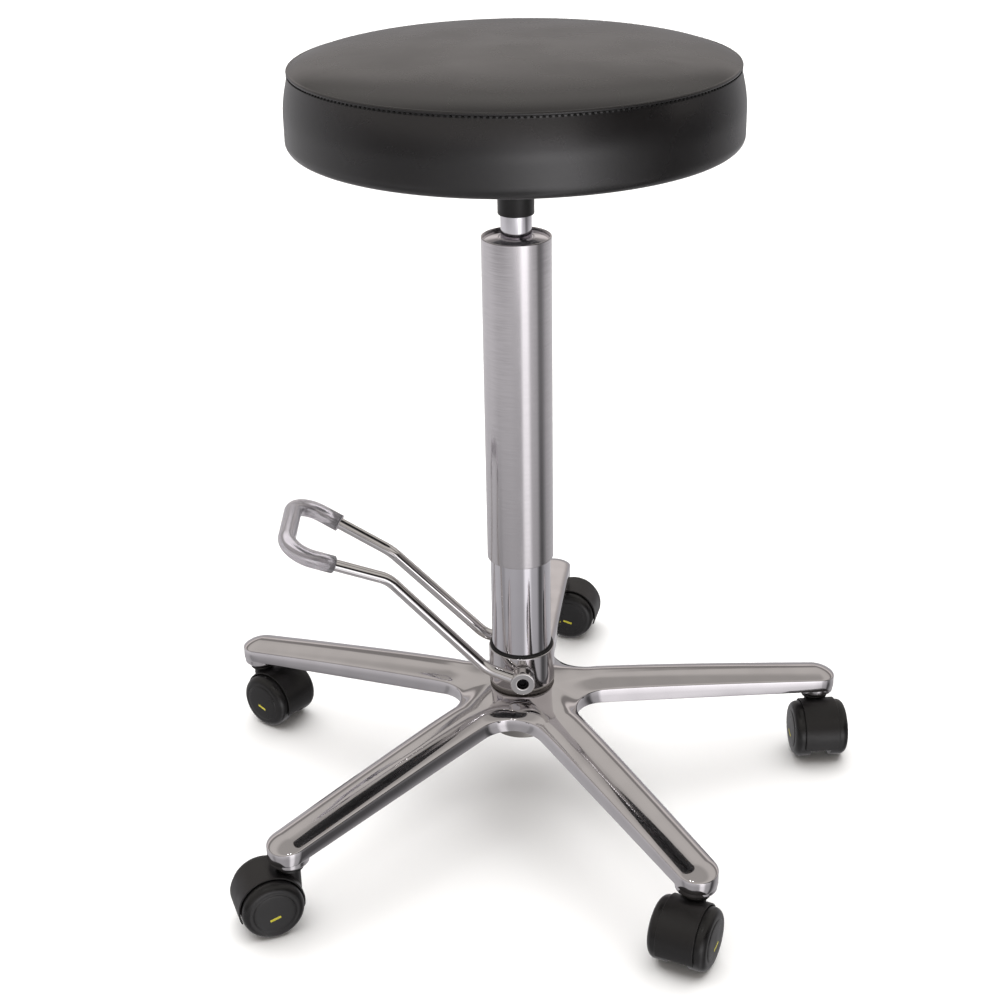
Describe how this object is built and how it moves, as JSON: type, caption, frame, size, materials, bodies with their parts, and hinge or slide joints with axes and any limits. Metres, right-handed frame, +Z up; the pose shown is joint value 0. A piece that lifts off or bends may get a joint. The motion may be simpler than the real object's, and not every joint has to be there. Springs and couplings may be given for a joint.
{
  "type": "dentist stool",
  "caption": "Round padded stool on a gas lift with a foot lever, polished star base and hooded twin-wheel casters.",
  "frame": {"origin": "point on the floor under the column's axis", "axes": "+Z up along the column, +Y along the rear leg, the foot lever towards -X"},
  "size_m": [0.5653, 0.5648, 0.6432],
  "materials": {
    "polished_aluminium": "polished casting",
    "chromed_steel": "bright chrome",
    "satin_steel": "fine satin grind",
    "lever_steel": "bright plated",
    "sleeve_pvc": "soft clear grey tube",
    "black_plastic": "moulded, fine grain",
    "wheel_plastic": "moulded, satin",
    "zinc_steel": "zinc plated",
    "black_steel": "black enamel",
    "bearing_bronze": "sintered",
    "guide_plastic": "natural acetal",
    "seal_rubber": "matt",
    "plywood": "birch plywood",
    "dust_cloth": "black nonwoven",
    "black_vinyl": "black vinyl-coated upholstery fabric over foam"
  },
  "bodies": {
    "base": {"star_base": "polished_aluminium", "hub_bolt": "zinc_steel", "hub_washer": "zinc_steel", "caster_stems": "zinc_steel", "stem_rings": "zinc_steel", "lever_collar": "polished_aluminium", "pivot_bushes": "bearing_bronze", "seal_ring": "seal_rubber", "lower_tube": "chromed_steel", "tube_guide": "guide_plastic", "cylinder_seat": "zinc_steel", "gas_cylinder": "black_steel", "cylinder_gland": "black_steel"},
    "lift": {"piston_rod": "chromed_steel", "piston": "black_steel", "thrust_washer": "bearing_bronze", "rod_clip": "zinc_steel"},
    "seat": {"cover_tube": "satin_steel", "cover_guide": "guide_plastic", "cover_cap": "satin_steel", "neck_tube": "chromed_steel", "seat_socket": "black_steel", "seat_plate": "black_steel", "plate_screws": "black_steel", "dust_cover": "dust_cloth", "seat_board": "plywood", "cushion": "black_vinyl"},
    "lever": {"lever_bar": "lever_steel", "lever_sleeve": "sleeve_pvc", "cross_shaft": "zinc_steel", "lever_screws": "black_steel"},
    "release": {"release_tappet": "zinc_steel", "release_pin": "zinc_steel", "return_spring": "zinc_steel"},
    "caster_1": {"caster_hood_1": "black_plastic", "caster_axle_1": "zinc_steel"},
    "left_wheel_1": {"left_wheel_1": "wheel_plastic"},
    "right_wheel_1": {"right_wheel_1": "wheel_plastic"},
    "caster_2": {"caster_hood_2": "black_plastic", "caster_axle_2": "zinc_steel"},
    "left_wheel_2": {"left_wheel_2": "wheel_plastic"},
    "right_wheel_2": {"right_wheel_2": "wheel_plastic"},
    "caster_3": {"caster_hood_3": "black_plastic", "caster_axle_3": "zinc_steel"},
    "left_wheel_3": {"left_wheel_3": "wheel_plastic"},
    "right_wheel_3": {"right_wheel_3": "wheel_plastic"},
    "caster_4": {"caster_hood_4": "black_plastic", "caster_axle_4": "zinc_steel"},
    "left_wheel_4": {"left_wheel_4": "wheel_plastic"},
    "right_wheel_4": {"right_wheel_4": "wheel_plastic"},
    "caster_5": {"caster_hood_5": "black_plastic", "caster_axle_5": "zinc_steel"},
    "left_wheel_5": {"left_wheel_5": "wheel_plastic"},
    "right_wheel_5": {"right_wheel_5": "wheel_plastic"}
  },
  "joints": [
    {"name": "seat_lift", "type": "slide", "parent": "base", "child": "lift", "axis": [0, 0, 1], "range_m": [-0.08, 0.06]},
    {"name": "seat_swivel", "type": "hinge", "parent": "lift", "child": "seat", "pos_m": [0, 0, 0.5], "axis": [0, 0, 1], "continuous": true},
    {"name": "foot_lever", "type": "hinge", "parent": "base", "child": "lever", "pos_m": [0, 0, 0.118], "axis": [0.1392, -0.9903, 0], "range_deg": [0, 12], "stiffness_Nm_per_rad": 10, "springref_deg": -17.19},
    {"name": "release_lift", "type": "slide", "parent": "base", "child": "release", "axis": [0, 0, 1], "range_m": [0, 0.0026], "deforming": ["return_spring"]},
    {"name": "caster_swivel_1", "type": "hinge", "parent": "base", "child": "caster_1", "pos_m": [0.25869, 0.08405, 0.05], "axis": [0, 0, 1], "continuous": true},
    {"name": "left_roll_1", "type": "hinge", "parent": "caster_1", "child": "left_wheel_1", "pos_m": [0.26241, 0.06491, 0.025], "axis": [0.9816, 0.1908, 0], "continuous": true},
    {"name": "right_roll_1", "type": "hinge", "parent": "caster_1", "child": "right_wheel_1", "pos_m": [0.26241, 0.06491, 0.025], "axis": [0.9816, 0.1908, 0], "continuous": true},
    {"name": "caster_swivel_2", "type": "hinge", "parent": "base", "child": "caster_2", "pos_m": [0, 0.272, 0.05], "axis": [0, 0, 1], "continuous": true},
    {"name": "left_roll_2", "type": "hinge", "parent": "caster_2", "child": "left_wheel_2", "pos_m": [0.01939, 0.26996, 0.025], "axis": [0.1045, 0.9945, 0], "continuous": true},
    {"name": "right_roll_2", "type": "hinge", "parent": "caster_2", "child": "right_wheel_2", "pos_m": [0.01939, 0.26996, 0.025], "axis": [0.1045, 0.9945, 0], "continuous": true},
    {"name": "caster_swivel_3", "type": "hinge", "parent": "base", "child": "caster_3", "pos_m": [-0.25869, 0.08405, 0.05], "axis": [0, 0, 1], "continuous": true},
    {"name": "left_roll_3", "type": "hinge", "parent": "caster_3", "child": "left_wheel_3", "pos_m": [-0.2418, 0.0743, 0.025], "axis": [0.5, 0.866, 0], "continuous": true},
    {"name": "right_roll_3", "type": "hinge", "parent": "caster_3", "child": "right_wheel_3", "pos_m": [-0.2418, 0.0743, 0.025], "axis": [0.5, 0.866, 0], "continuous": true},
    {"name": "caster_swivel_4", "type": "hinge", "parent": "base", "child": "caster_4", "pos_m": [-0.15988, -0.22005, 0.05], "axis": [0, 0, 1], "continuous": true},
    {"name": "left_roll_4", "type": "hinge", "parent": "caster_4", "child": "left_wheel_4", "pos_m": [-0.1771, -0.22921, 0.025], "axis": [0.4695, -0.8829, 0], "continuous": true},
    {"name": "right_roll_4", "type": "hinge", "parent": "caster_4", "child": "right_wheel_4", "pos_m": [-0.1771, -0.22921, 0.025], "axis": [0.4695, -0.8829, 0], "continuous": true},
    {"name": "caster_swivel_5", "type": "hinge", "parent": "base", "child": "caster_5", "pos_m": [0.15988, -0.22005, 0.05], "axis": [0, 0, 1], "continuous": true},
    {"name": "left_roll_5", "type": "hinge", "parent": "caster_5", "child": "left_wheel_5", "pos_m": [0.15353, -0.23849, 0.025], "axis": [0.9455, -0.3256, 0], "continuous": true},
    {"name": "right_roll_5", "type": "hinge", "parent": "caster_5", "child": "right_wheel_5", "pos_m": [0.15353, -0.23849, 0.025], "axis": [0.9455, -0.3256, 0], "continuous": true}
  ],
  "couplings": [
    {"joint": "release_lift", "follows": "foot_lever", "m_per_rad": 0.012}
  ]
}
